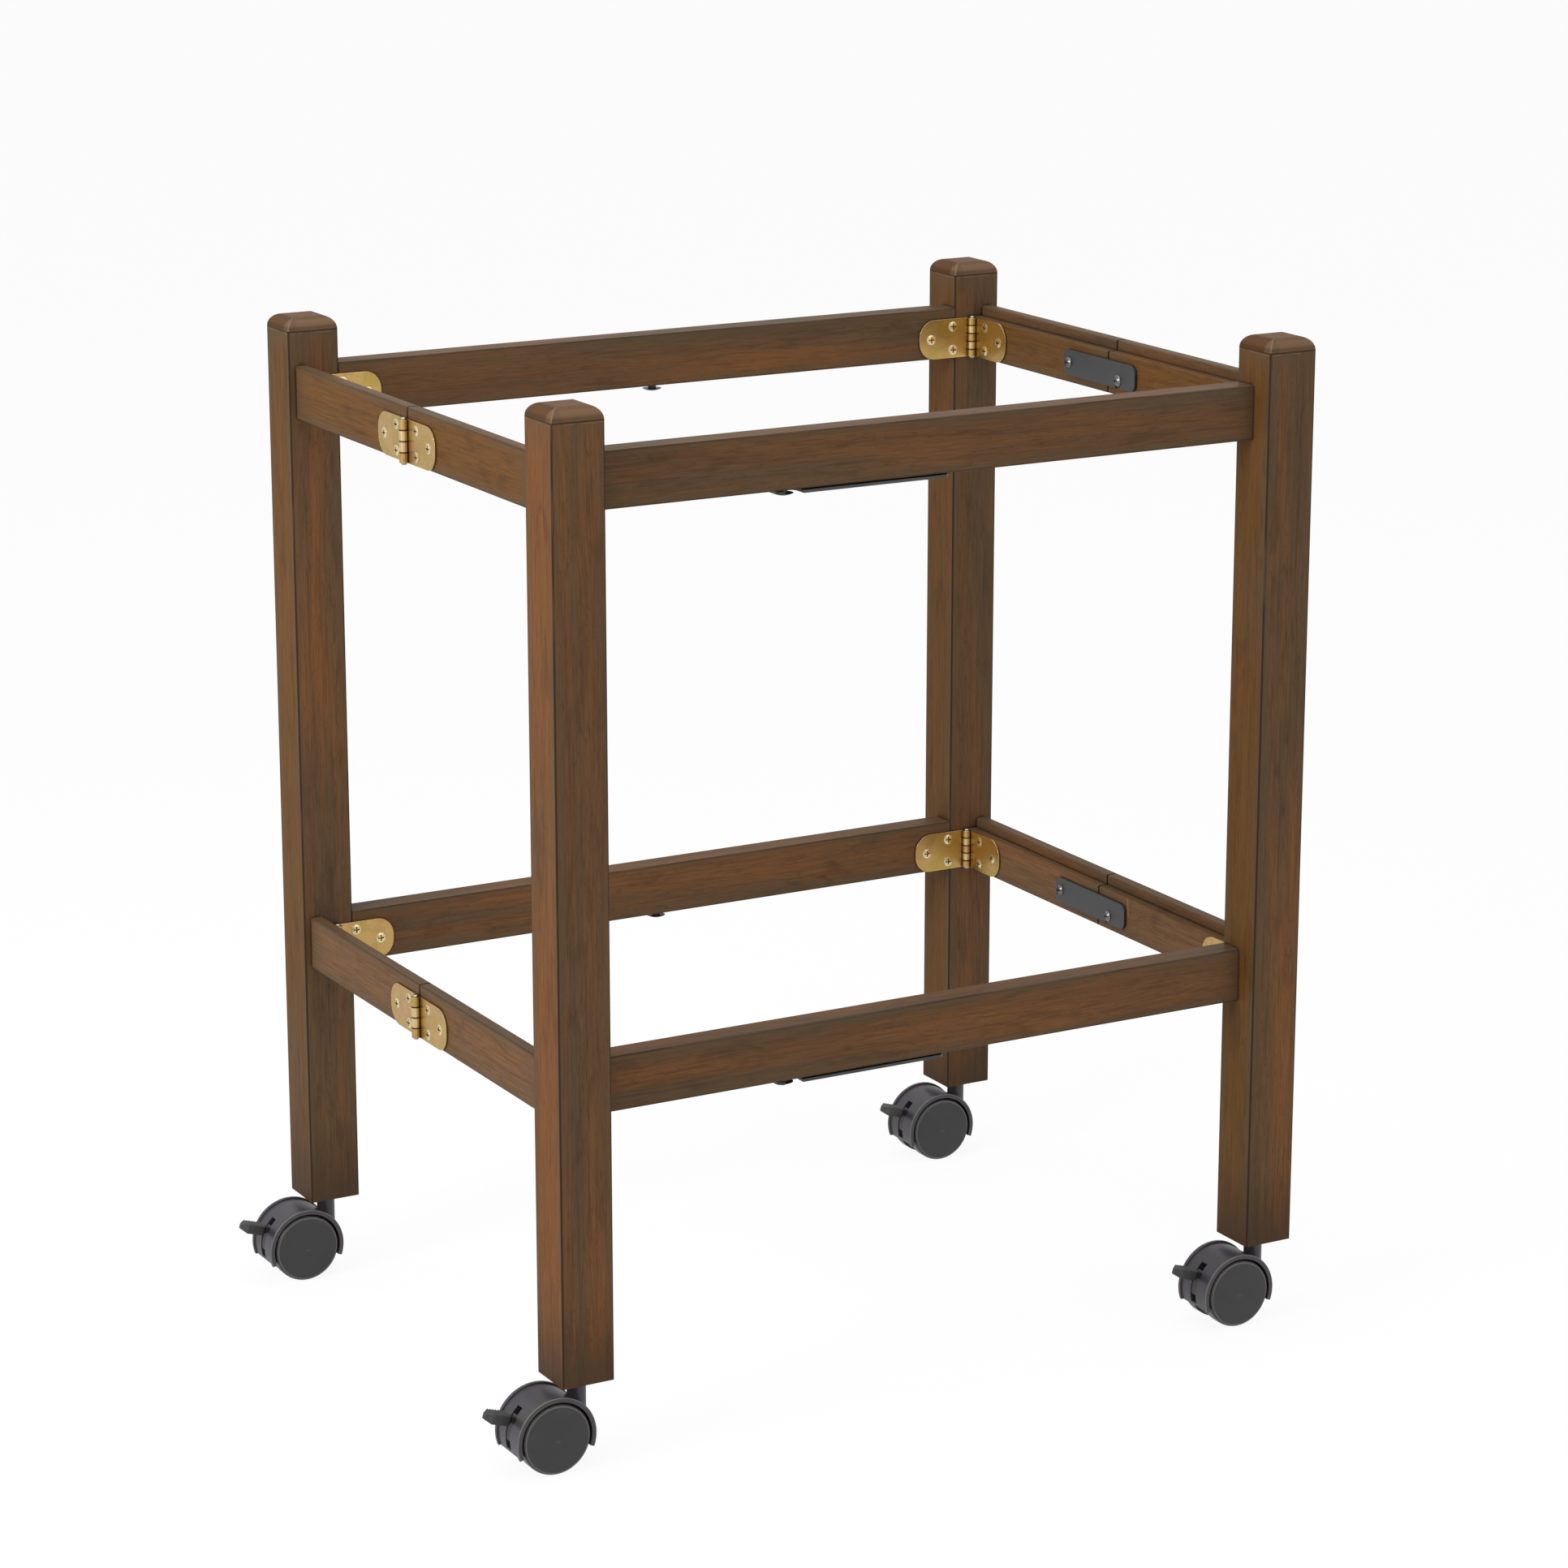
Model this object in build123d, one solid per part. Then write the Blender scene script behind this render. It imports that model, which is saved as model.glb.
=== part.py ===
from build123d import *
import os
from math import cos, radians, sin

# Folding serving trolley: two wooden end frames joined by side rails that fold inwards.
# Millimetres, Z up, X along the long rails, front at -Y, origin on the floor under the middle.

# Posts
frame_length = 584
frame_width = 450
post_side = 38
post_length = 654
post_top_length = 33
post_leg_length = 180
post_crown_radius = 9
post_edge_radius = 1.2

# Rails
rail_height = 38
long_rail_thickness = 20
rail_edge_radius = 1.2
tenon_length = 14
tenon_thickness = 10
tenon_shoulder = 5
side_rail_inset = 5
lip_thickness = 9
ledge_width = 7.5
ledge_drop = 7.5
side_rail_end_gap = 0.5
side_rail_split_gap = 1.6

# Hinges
knuckle_radius = 3.2
knuckle_gap = 0.5
corner_knuckle_count = 5
middle_knuckle_count = 4
hinge_pin_radius = 2.1
hinge_pin_overhang = 1.2
leaf_thickness = 1.4
leaf_height = 29.8
leaf_length = 45
leaf_corner_radius = 13
near_screw_reach = 15.6
near_screw_spread = 17.8
far_screw_reach = 34.8
fold_angle = 84

# Hinge screws
leaf_screw_head_radius = 4
leaf_screw_sink = 1.3
leaf_screw_crown = 0.8
leaf_screw_shank_radius = 1.75
leaf_screw_length = 13
screw_point_length = 2.5
leaf_recess_radius = 2.2
leaf_recess_width = 0.9
leaf_recess_depth = 1.4

# Latch plates on the inner faces of the side rails
latch_length = 94
latch_height = 19
latch_thickness = 2
latch_corner_radius = 6
latch_pivot_margin = 6.5
latch_pivot_to_split = 49.5
latch_split_to_keeper = 16
latch_keeper_drop = 3.8
latch_notch_play = 0.6
latch_screw_head_radius = 4.3
latch_screw_head_height = 2.2
latch_screw_neck_radius = 2.4
latch_screw_shank_radius = 1.9
latch_screw_length = 11
latch_recess_radius = 2.5
latch_recess_width = 1
latch_recess_depth = 1.5

# Bars under the front rails that hold the folded trolley shut
fold_bar_x = 0
fold_bar_width = 19
fold_bar_thickness = 2
fold_bar_corner_radius = 6
fold_bar_standoff = 1
fold_bar_pivot_margin = 12
fold_bar_park_margin = 8
fold_bar_notch_width = 14
fold_bar_notch_play = 0.6
bar_screw_head_radius = 7
bar_screw_head_height = 1.8
bar_screw_neck_radius = 3
bar_screw_washer_radius = 5.5
bar_screw_shank_radius = 2.2
bar_screw_length = 20

# Casters
caster_height = 60
wheel_radius = 25
wheel_face_radius = 3
wheel_face_dome = 0.8
wheel_rim_thickness = 3.5
wheel_face_thickness = 4
wheel_hub_radius = 6
wheel_inner_gap = 0.8
caster_width = 38
caster_trail = 23
hood_gap = 1
hood_wall = 2
hood_width = 35
hood_rim_rise = 1.2
hood_rim_width = 2.8
hood_edge_radius = 0.5
hood_front_angle = -20
hood_rear_angle = 200
core_width = 14
core_depth = 8.5
neck_radius = 6.5
neck_length = 25.5
neck_flange_gap = 0.3
axle_radius = 2.5
axle_end_play = 0.3
stem_radius = 4
stem_flange_radius = 6.6
stem_flange_thickness = 1.2
stem_in_post = 38
stem_in_neck = 22
stem_tip_chamfer = 0.8

# Brake levers
brake_slot_width = 6.6
brake_slot_top_angle = 131
brake_slot_end_angle = 195
brake_travel_angle = 12
brake_hub_radius = 6
brake_pocket_radius = 9
brake_arm_angle = 150
brake_arm_thickness = 5
brake_shield_top_angle = 143
brake_shield_end_angle = 182
brake_shield_thickness = 2.2
brake_shield_recess = 0.5
brake_tab_tilt_angle = 17
brake_tab_length = 23.8
brake_tab_thickness = 4
brake_tab_width = 11
brake_tab_neck_length = 4
brake_tab_shoulder_length = 7
brake_tab_grip_length = 12.5
brake_tab_tip_width = 3
brake_tab_tip_thickness = 2
brake_tooth_count = 6
brake_tooth_depth = 0.6

# Clearances
body_gap = 0.3
running_clearance = 0.05
pilot_clearance = 0.05
mortise_clearance = 0.1
cut_overrun = 5

# Places worked out from the sizes above
level_rises = {"upper": post_length - post_top_length - rail_height, "lower": post_leg_length}
side_names = {-1: "left", 1: "right"}
end_names = {-1: "front", 1: "back"}
post_x = (frame_length - post_side) / 2
post_y = (frame_width - post_side) / 2
post_inner_x = frame_length / 2 - post_side
post_inner_y = frame_width / 2 - post_side
long_rail_y = post_inner_y + long_rail_thickness / 2
side_rail_outer_x = frame_length / 2 - side_rail_inset
side_rail_inner_x = side_rail_outer_x - lip_thickness - ledge_width
ledge_height = rail_height - ledge_drop
corner_axis_x = side_rail_inner_x - knuckle_radius
corner_axis_y = post_inner_y - knuckle_radius
middle_axis_x = side_rail_outer_x + knuckle_radius
wheel_axis_x = -caster_trail
hood_inner_radius = wheel_radius + hood_gap
hood_skin_radius = hood_inner_radius + hood_wall
hood_rim_radius = hood_skin_radius + hood_rim_rise
neck_top = caster_height - stem_flange_thickness - neck_flange_gap
core_half = core_width / 2
wheel_inner_y = core_half + wheel_inner_gap
wheel_outer_y = caster_width / 2
axle_half_length = wheel_outer_y - wheel_face_thickness - axle_end_play

# How far apart the long rails' middles stand when the trolley is folded
link_along_y = corner_axis_y
link_along_x = middle_axis_x - corner_axis_x
folded_half_gap = link_along_y * cos(radians(fold_angle)) + link_along_x * sin(radians(fold_angle))
catch_reach = 2 * (folded_half_gap + knuckle_radius + long_rail_thickness / 2)

# The brake levers' tabs leave the hoods on the arm's line and tilt up from there
tab_root_x = hood_inner_radius * cos(radians(brake_arm_angle))
tab_root_z = hood_inner_radius * sin(radians(brake_arm_angle))
tab_tilt = radians(brake_tab_tilt_angle)
tab_reach = brake_tab_length * cos(tab_tilt) + brake_tab_tip_thickness / 2 * sin(tab_tilt) - tab_root_x

# The origin is under the middle of the whole outline, which the casters push to one side
left_reach = post_x + caster_trail + tab_reach
right_reach = middle_axis_x + knuckle_radius
origin_shift = (left_reach - right_reach) / 2


def rail_bottom(level):
    return caster_height + level_rises[level]


def hinge_middle(level):
    return rail_bottom(level) + ledge_height / 2


def solids_of(shapes):
    return [solid for shape in shapes for solid in shape.solids()]


def box_between(low, high):
    size = [top - bottom for bottom, top in zip(low, high)]
    centre = [(top + bottom) / 2 for bottom, top in zip(low, high)]
    return Pos(*centre) * Box(*size)


def rod(radius, start, end):
    return Pos(0, 0, (start + end) / 2) * Cylinder(radius, end - start)


def turned(points):
    return revolve(make_face(Polyline(*points, close=True)), Axis.Z)


# Screws point down local Z with the seat of the head at zero
def cross_recess(top, radius, width, depth):
    outline = Rectangle(2 * radius, width) + Rectangle(width, 2 * radius)
    return Pos(0, 0, top - depth) * extrude(outline, depth + cut_overrun)


def countersunk_screw(clearance=0):
    head = leaf_screw_head_radius + clearance
    shank = leaf_screw_shank_radius + clearance
    crown = TangentArc((0, 0, leaf_screw_crown + clearance), (head, 0, 0), tangent=(1, 0, 0))
    sides = Polyline(
        (head, 0, 0),
        (shank, 0, -leaf_screw_sink - clearance),
        (shank, 0, -leaf_screw_length - clearance + screw_point_length),
        (0, 0, -leaf_screw_length - clearance),
        (0, 0, leaf_screw_crown + clearance),
    )
    return revolve(make_face([crown, sides]), Axis.Z)


def leaf_screw():
    return countersunk_screw() - cross_recess(
        leaf_screw_crown, leaf_recess_radius, leaf_recess_width, leaf_recess_depth)


def shoulder_screw(head_radius, head_height, neck_radius, seat_height, shank_radius, length, washer=None):
    top = seat_height + head_height
    dome = TangentArc((0, 0, top), (head_radius, 0, seat_height), tangent=(1, 0, 0))
    below = [(head_radius, 0, seat_height), (neck_radius, 0, seat_height)]
    if washer:
        washer_radius, washer_thickness = washer
        below += [(neck_radius, 0, washer_thickness), (washer_radius, 0, washer_thickness)]
        below += [(washer_radius, 0, 0)]
    else:
        below += [(neck_radius, 0, 0)]
    below += [
        (shank_radius, 0, 0),
        (shank_radius, 0, -length + screw_point_length),
        (0, 0, -length),
        (0, 0, top),
    ]
    recess = cross_recess(top, latch_recess_radius, latch_recess_width, latch_recess_depth)
    return revolve(make_face([dome, Polyline(*below)]), Axis.Z) - recess


def pilot(radius, length):
    return rod(radius + pilot_clearance, -length - pilot_clearance, cut_overrun)


# Posts: two crossed profiles give the mitred crown
def post_blank():
    half = post_side / 2
    top = caster_height + post_length
    profile = Pos(0, (caster_height + top) / 2) * Rectangle(post_side, post_length)
    crown_corners = profile.vertices().group_by(Axis.Y)[-1]
    profile = fillet(crown_corners, post_crown_radius)
    along_y = extrude(Plane.XZ * profile, half, both=True)
    along_x = extrude(Plane.YZ * profile, half, both=True)
    blank = along_y & along_x
    uprights = blank.edges().filter_by(Axis.Z)
    blank = fillet(uprights, post_edge_radius)
    return blank - rod(stem_radius + pilot_clearance, caster_height - cut_overrun,
                       caster_height + stem_in_post + pilot_clearance)


def long_rail_blank(level, clearance=0):
    middle = rail_bottom(level) + rail_height / 2
    tenon = Pos(0, 0, middle) * Box(
        2 * (post_inner_x + tenon_length + clearance),
        tenon_thickness + 2 * clearance,
        rail_height - 2 * (tenon_shoulder - clearance),
    )
    if clearance:
        return tenon
    bar = Pos(0, 0, middle) * Box(2 * post_inner_x, long_rail_thickness, rail_height)
    bar = fillet(bar.edges().filter_by(Axis.X), rail_edge_radius)
    return bar + tenon


# Side rails: an L section, the ledge carries a tray inside the lip
def side_rail_half(side, end, level):
    bottom = rail_bottom(level)
    top = bottom + rail_height
    ledge_top = bottom + ledge_height
    lip_inner = side_rail_outer_x - lip_thickness
    section = make_face(Polyline(
        (side_rail_outer_x, bottom),
        (side_rail_outer_x, top),
        (lip_inner, top),
        (lip_inner, ledge_top),
        (side_rail_inner_x, ledge_top),
        (side_rail_inner_x, bottom),
        close=True,
    ))
    step_corner = section.vertices().sort_by_distance((lip_inner, ledge_top, 0))[0]
    section = fillet([corner for corner in section.vertices() if corner != step_corner], rail_edge_radius)
    near = side_rail_split_gap / 2
    far = post_inner_y - side_rail_end_gap
    half = extrude(Plane.XZ * section, far - near)
    half = Pos(0, (far if end > 0 else -near), 0) * half
    return half if side > 0 else half.mirror(Plane.YZ)


# Hinge leaves: knuckle axis on local Z, plate along local X, wood on local +Y
def knuckle_spans(outer_leaf, knuckle_count):
    step = leaf_height / knuckle_count
    own = []
    others = []
    for index in range(knuckle_count):
        low = -leaf_height / 2 + index * step
        span = (low, low + step)
        if (index % 2 == 0) == outer_leaf:
            own.append(span)
        else:
            others.append(span)
    return own, others


def leaf_screw_places():
    return [
        (near_screw_reach, near_screw_spread / 2),
        (near_screw_reach, -near_screw_spread / 2),
        (far_screw_reach, 0),
    ]


def leaf_screw_seat(reach, height):
    front_face = knuckle_radius - leaf_thickness
    return Location(Plane(origin=(reach, front_face, height), x_dir=(1, 0, 0), z_dir=(0, -1, 0)))


def hinge_leaf(outer_leaf, knuckle_count):
    outline = Pos(leaf_length / 2, 0) * Rectangle(leaf_length, leaf_height)
    tip_corners = outline.vertices().group_by(Axis.X)[-1]
    outline = fillet(tip_corners, leaf_corner_radius)
    plate = extrude(Plane.XZ * outline, leaf_thickness)
    plate = Pos(0, knuckle_radius, 0) * plate
    own, others = knuckle_spans(outer_leaf, knuckle_count)
    for low, high in others:
        plate -= rod(knuckle_radius + body_gap, low - knuckle_gap / 2, high + knuckle_gap / 2)
    leaf = plate
    for low, high in own:
        leaf += rod(knuckle_radius, low + knuckle_gap / 2, high - knuckle_gap / 2)
    leaf -= rod(hinge_pin_radius + running_clearance, -leaf_height, leaf_height)
    for reach, height in leaf_screw_places():
        leaf -= leaf_screw_seat(reach, height) * countersunk_screw(pilot_clearance)
    return leaf


def hinge_pin():
    half = leaf_height / 2 + hinge_pin_overhang
    pin = rod(hinge_pin_radius, -half, half)
    return chamfer(pin.edges().filter_by(GeomType.CIRCLE), hinge_pin_overhang / 2)


def hinge_place(axis_point, along, into_wood):
    turn = along[0] * into_wood[1] - along[1] * into_wood[0]
    return Location(Plane(origin=axis_point, x_dir=(*along, 0), z_dir=(0, 0, turn)))


def corner_axis(side, end, level):
    return (side * corner_axis_x, end * corner_axis_y, hinge_middle(level))


def middle_axis(side, level):
    return (side * middle_axis_x, 0, hinge_middle(level))


def frame_leaf_place(side, end, level):
    return hinge_place(corner_axis(side, end, level), (-side, 0), (0, end))


def rail_corner_leaf_place(side, end, level):
    return hinge_place(corner_axis(side, end, level), (0, -end), (side, 0))


def rail_middle_leaf_place(side, end, level):
    return hinge_place(middle_axis(side, level), (0, end), (-side, 0))


def leaf_screws(place, fastener):
    return [place * leaf_screw_seat(reach, height) * fastener
            for reach, height in leaf_screw_places()]


def leaf_pilots(place):
    return [place * leaf_screw_seat(reach, height) * pilot(leaf_screw_shank_radius, leaf_screw_length)
            for reach, height in leaf_screw_places()]


# Latch plates: local X runs from the pivot to the keeper, local Y is the face's own up or down
latch_neck_length = latch_thickness + 2 * body_gap
keeper_reach = latch_pivot_to_split + latch_split_to_keeper


def latch_place(side, level):
    origin = (side * side_rail_inner_x, latch_pivot_to_split, hinge_middle(level))
    return Location(Plane(origin=origin, x_dir=(0, -1, 0), z_dir=(-side, 0, 0)))


def latch_plate(side):
    plate = Pos(latch_length / 2 - latch_pivot_margin, 0) * RectangleRounded(
        latch_length, latch_height, latch_corner_radius)
    plate -= Circle(latch_screw_neck_radius + running_clearance)
    notch_radius = latch_screw_neck_radius + latch_notch_play
    keeper_height = -side * latch_keeper_drop
    notch_end = -side * (latch_height / 2 + cut_overrun)
    plate -= Pos(keeper_reach, keeper_height) * Circle(notch_radius)
    plate -= Pos(keeper_reach, (keeper_height + notch_end) / 2) * Rectangle(
        2 * notch_radius, abs(notch_end - keeper_height))
    return Pos(0, 0, body_gap) * extrude(plate, latch_thickness)


def latch_screw():
    return shoulder_screw(latch_screw_head_radius, latch_screw_head_height, latch_screw_neck_radius,
                          latch_neck_length, latch_screw_shank_radius, latch_screw_length)


def keeper_place(side, level):
    return latch_place(side, level) * Pos(keeper_reach, -side * latch_keeper_drop, 0)


# Fold bars: local X runs from the pivot to the parking screw, local Z points down
bar_neck_length = fold_bar_standoff + fold_bar_thickness + body_gap


def bar_place(end, level, offset=0):
    origin = (fold_bar_x - offset, end * long_rail_y, rail_bottom(level))
    return Location(Plane(origin=origin, x_dir=(-1, 0, 0), z_dir=(0, 0, -1)))


def fold_bar():
    length = fold_bar_pivot_margin + catch_reach + fold_bar_park_margin
    bar = Pos(length / 2 - fold_bar_pivot_margin, 0) * RectangleRounded(
        length, fold_bar_width, fold_bar_corner_radius)
    bar -= Circle(bar_screw_neck_radius + running_clearance)
    seat_radius = bar_screw_neck_radius + fold_bar_notch_play
    notch_start = catch_reach + seat_radius - fold_bar_notch_width
    notch = Pos(notch_start + fold_bar_notch_width / 2, 0) * Rectangle(
        fold_bar_notch_width, 2 * seat_radius)
    notch = fillet(notch.vertices().group_by(Axis.Y)[-1], seat_radius)
    mouth_depth = fold_bar_width / 2 + cut_overrun
    mouth = Pos(notch_start + fold_bar_notch_width / 2, -mouth_depth / 2) * Rectangle(
        fold_bar_notch_width, mouth_depth)
    bar -= notch + mouth
    return Pos(0, 0, fold_bar_standoff) * extrude(bar, fold_bar_thickness)


def bar_screw():
    return shoulder_screw(bar_screw_head_radius, bar_screw_head_height, bar_screw_neck_radius,
                          bar_neck_length, bar_screw_shank_radius, bar_screw_length,
                          (bar_screw_washer_radius, fold_bar_standoff - body_gap))


# Casters: swivel axis on local Z, floor at zero, the wheels trail towards local -X
def wheel_plane_sector(radius, start_angle, end_angle):
    reach = radius / cos(radians(sector_step_angle / 2))
    steps = max(1, round((end_angle - start_angle) / sector_step_angle))
    points = [(0, 0)]
    for index in range(steps + 1):
        angle = radians(start_angle + (end_angle - start_angle) * index / steps)
        points.append((reach * cos(angle), reach * sin(angle)))
    return make_face(Polyline(*points, close=True))


sector_step_angle = 40
at_wheel_axis = Pos(wheel_axis_x, 0, wheel_radius)


def across(sketch, width):
    return at_wheel_axis * extrude(Plane.XZ * sketch, width / 2, both=True)


# A rim bead runs round both edges of the hood's skin
def hood_skin():
    half = hood_width / 2
    bead_start = half - hood_rim_width
    profile = make_face(Polyline(
        (hood_inner_radius, -half),
        (hood_rim_radius, -half),
        (hood_rim_radius, -bead_start),
        (hood_skin_radius, -bead_start),
        (hood_skin_radius, bead_start),
        (hood_rim_radius, bead_start),
        (hood_rim_radius, half),
        (hood_inner_radius, half),
        close=True,
    ))
    bead_corners = profile.vertices().group_by(Axis.X)[-1]
    profile = fillet(bead_corners, hood_edge_radius)
    backwards = Axis((0, 0, 0), (0, -1, 0))
    skin = revolve(profile, backwards, hood_rear_angle - hood_front_angle)
    return at_wheel_axis * Rot(0, -hood_front_angle, 0) * skin


def hood():
    reach = 2 * hood_rim_radius
    core_slab = Pos(0, reach / 2 - core_depth) * Rectangle(reach, reach)
    core = across(Circle(hood_inner_radius + hood_wall / 2) & core_slab, core_width)
    neck = rod(neck_radius, neck_top - neck_length, neck_top)
    slot = wheel_plane_sector(hood_rim_radius + cut_overrun, brake_slot_top_angle, brake_slot_end_angle)
    pocket = across(slot + Circle(brake_pocket_radius), brake_slot_width)
    axle_bore = across(Circle(axle_radius + pilot_clearance), hood_width)
    stem_bore = rod(stem_radius + running_clearance, neck_top - stem_in_neck - body_gap, caster_height)
    return hood_skin() + core + neck - pocket - axle_bore - stem_bore


def caster_axle():
    pin = across(Circle(axle_radius), 2 * axle_half_length)
    return chamfer(pin.edges().filter_by(GeomType.CIRCLE), axle_end_play)


def caster_wheel(end):
    rim_face = wheel_outer_y - wheel_face_dome
    shoulder = rim_face - wheel_face_radius
    inner_face = wheel_outer_y - wheel_face_thickness
    bore = axle_radius + running_clearance
    bore_end = axle_half_length + running_clearance
    rim_inner = wheel_radius - wheel_rim_thickness
    round_start = wheel_radius - wheel_face_radius
    bulge = wheel_face_radius * cos(radians(45))
    dome = TangentArc((0, wheel_outer_y), (round_start, rim_face), tangent=(1, 0))
    edge = ThreePointArc(
        (round_start, rim_face), (round_start + bulge, shoulder + bulge), (wheel_radius, shoulder))
    rest = Polyline(
        (wheel_radius, shoulder),
        (wheel_radius, wheel_inner_y),
        (rim_inner, wheel_inner_y),
        (rim_inner, inner_face),
        (wheel_hub_radius, inner_face),
        (wheel_hub_radius, wheel_inner_y),
        (bore, wheel_inner_y),
        (bore, bore_end),
        (0, bore_end),
        (0, wheel_outer_y),
    )
    wheel = revolve(make_face([dome, edge, rest]), Axis.Y)
    wheel = wheel if end > 0 else wheel.mirror(Plane.XZ)
    return at_wheel_axis * wheel


# The tab in its own frame: local X runs out along it, its plan widens past the hood
def brake_tab(neck_width):
    root = (tab_root_x, 0, tab_root_z)
    outwards = (-cos(tab_tilt), 0, sin(tab_tilt))
    tab_plan = Plane(origin=root, x_dir=outwards, z_dir=(sin(tab_tilt), 0, cos(tab_tilt)))
    tab_side = Plane(origin=root, x_dir=outwards, z_dir=(0, 1, 0))
    grip_end = brake_tab_shoulder_length + brake_tab_grip_length
    half_outline = [
        (0, neck_width / 2),
        (brake_tab_neck_length, neck_width / 2),
        (brake_tab_shoulder_length, brake_tab_width / 2),
        (grip_end, brake_tab_width / 2),
        (brake_tab_length, brake_tab_tip_width / 2),
    ]
    mirrored = [(x, -y) for x, y in reversed(half_outline)]
    plan = make_face(Polyline(*half_outline, *mirrored, close=True))
    top = brake_tab_thickness / 2
    pitch = brake_tab_grip_length / brake_tooth_count
    teeth = []
    for index in range(brake_tooth_count):
        start = brake_tab_shoulder_length + index * pitch
        teeth += [(start + pitch / 2, top - brake_tooth_depth), (start + pitch, top)]
    side = make_face(Polyline(
        (0, -top),
        (0, top),
        (brake_tab_shoulder_length, top),
        *teeth,
        (brake_tab_length, brake_tab_tip_thickness / 2),
        (brake_tab_length, -brake_tab_tip_thickness / 2),
        (grip_end, -top),
        close=True,
    ))
    slab = extrude(tab_plan * plan, top, both=True)
    return slab & extrude(tab_side * side, brake_tab_width / 2, both=True)


def brake_lever():
    width = brake_slot_width - 2 * body_gap
    outer = hood_skin_radius - brake_shield_recess
    arm = Rot(0, 0, brake_arm_angle) * Pos(outer / 2, 0) * Rectangle(outer, brake_arm_thickness)
    shield = wheel_plane_sector(outer, brake_shield_top_angle, brake_shield_end_angle) & Circle(outer)
    shield -= Circle(outer - brake_shield_thickness)
    body = (Circle(brake_hub_radius) + arm & Circle(outer)) + shield
    body -= Circle(axle_radius + running_clearance)
    return across(body, width) + at_wheel_axis * brake_tab(width)


def caster_stem():
    stem = rod(stem_radius, neck_top - stem_in_neck, caster_height + stem_in_post)
    stem = chamfer(stem.edges().filter_by(GeomType.CIRCLE), stem_tip_chamfer)
    return stem + rod(stem_flange_radius, caster_height - stem_flange_thickness, caster_height)


def caster_place(side, end):
    return Pos(side * post_x, end * post_y, 0)


# Every node of the trolley by name
def build_nodes():
    nodes = {}
    frame_leaf = hinge_leaf(True, corner_knuckle_count)
    rail_corner_leaf = hinge_leaf(False, corner_knuckle_count)
    # The count is even, so this leaf interlocks with its own copy turned upside down
    rail_middle_leaf = hinge_leaf(True, middle_knuckle_count)
    pin = hinge_pin()
    stem = caster_stem()
    leaf_fastener = leaf_screw()
    latch_fastener = latch_screw()
    bar_fastener = bar_screw()
    latch_pilot = pilot(latch_screw_shank_radius, latch_screw_length)
    bar_pilot = pilot(bar_screw_shank_radius, bar_screw_length)
    sides = list(side_names)
    ends = list(end_names)
    levels = list(level_rises)

    for end in ends:
        end_name = end_names[end]
        mortises = [long_rail_blank(level, mortise_clearance) for level in levels]
        mortises = [Pos(0, end * long_rail_y, 0) * mortise for mortise in mortises]
        for side in sides:
            post = Pos(side * post_x, end * post_y, 0) * post_blank()
            for mortise in mortises:
                post -= mortise
            nodes[f"post_{end_name}_{side_names[side]}"] = [post]
        for level in levels:
            rail = Pos(0, end * long_rail_y, 0) * long_rail_blank(level)
            for side in sides:
                for cutter in leaf_pilots(frame_leaf_place(side, end, level)):
                    rail -= cutter
            rail -= bar_place(end, level) * bar_pilot
            if end < 0:
                rail -= bar_place(end, level, catch_reach) * bar_pilot
            nodes[f"long_rail_{level}_{end_name}"] = [rail]

        places = [frame_leaf_place(side, end, level) for side in sides for level in levels]
        nodes[f"corner_leaves_{end_name}"] = [place * frame_leaf for place in places]
        nodes[f"corner_leaves_{end_name}"] += [place * pin for place in places]
        nodes[f"corner_leaf_screws_{end_name}"] = [
            screw for place in places for screw in leaf_screws(place, leaf_fastener)]
        nodes[f"caster_stems_{end_name}"] = [caster_place(side, end) * stem for side in sides]

    for side in sides:
        for end in ends:
            group = f"{side_names[side]}_{end_names[end]}"
            leaves = []
            screws = []
            for level in levels:
                corner = rail_corner_leaf_place(side, end, level)
                middle = rail_middle_leaf_place(side, end, level)
                half = side_rail_half(side, end, level)
                for cutter in leaf_pilots(corner) + leaf_pilots(middle):
                    half -= cutter
                lock = latch_place(side, level) if end > 0 else keeper_place(side, level)
                half -= lock * latch_pilot
                nodes[f"side_rail_{level}_{group}"] = [half]
                leaves.append(corner * rail_corner_leaf)
                leaves.append(middle * rail_middle_leaf)
                if end < 0:
                    leaves.append(Pos(*middle_axis(side, level)) * pin)
                screws += leaf_screws(corner, leaf_fastener) + leaf_screws(middle, leaf_fastener)
            nodes[f"rail_leaves_{group}"] = leaves
            nodes[f"rail_leaf_screws_{group}"] = screws
        nodes[f"latch_keepers_{side_names[side]}"] = [
            keeper_place(side, level) * latch_fastener for level in levels]
        for level in levels:
            place = latch_place(side, level)
            nodes[f"latch_{level}_{side_names[side]}"] = [
                place * latch_plate(side), place * latch_fastener]

    for level in levels:
        nodes[f"fold_bar_{level}"] = [bar_place(-1, level) * fold_bar()]
    nodes["fold_bar_screws"] = [
        bar_place(-1, level, offset) * bar_fastener for level in levels for offset in (0, catch_reach)]
    nodes["fold_bar_catches"] = [bar_place(1, level) * bar_fastener for level in levels]

    hood_shape = hood()
    axle = caster_axle()
    lever = brake_lever()
    wheels = {end: caster_wheel(end) for end in ends}
    for side in sides:
        for end in ends:
            place = caster_place(side, end)
            group = f"{end_names[end]}_{side_names[side]}"
            nodes[f"caster_hood_{group}"] = [place * hood_shape]
            nodes[f"caster_axle_{group}"] = [place * axle]
            nodes[f"brake_lever_{group}"] = [place * lever]
            for face, wheel in wheels.items():
                nodes[f"wheel_{group}_{end_names[face]}"] = [place * wheel]
    return nodes


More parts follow.
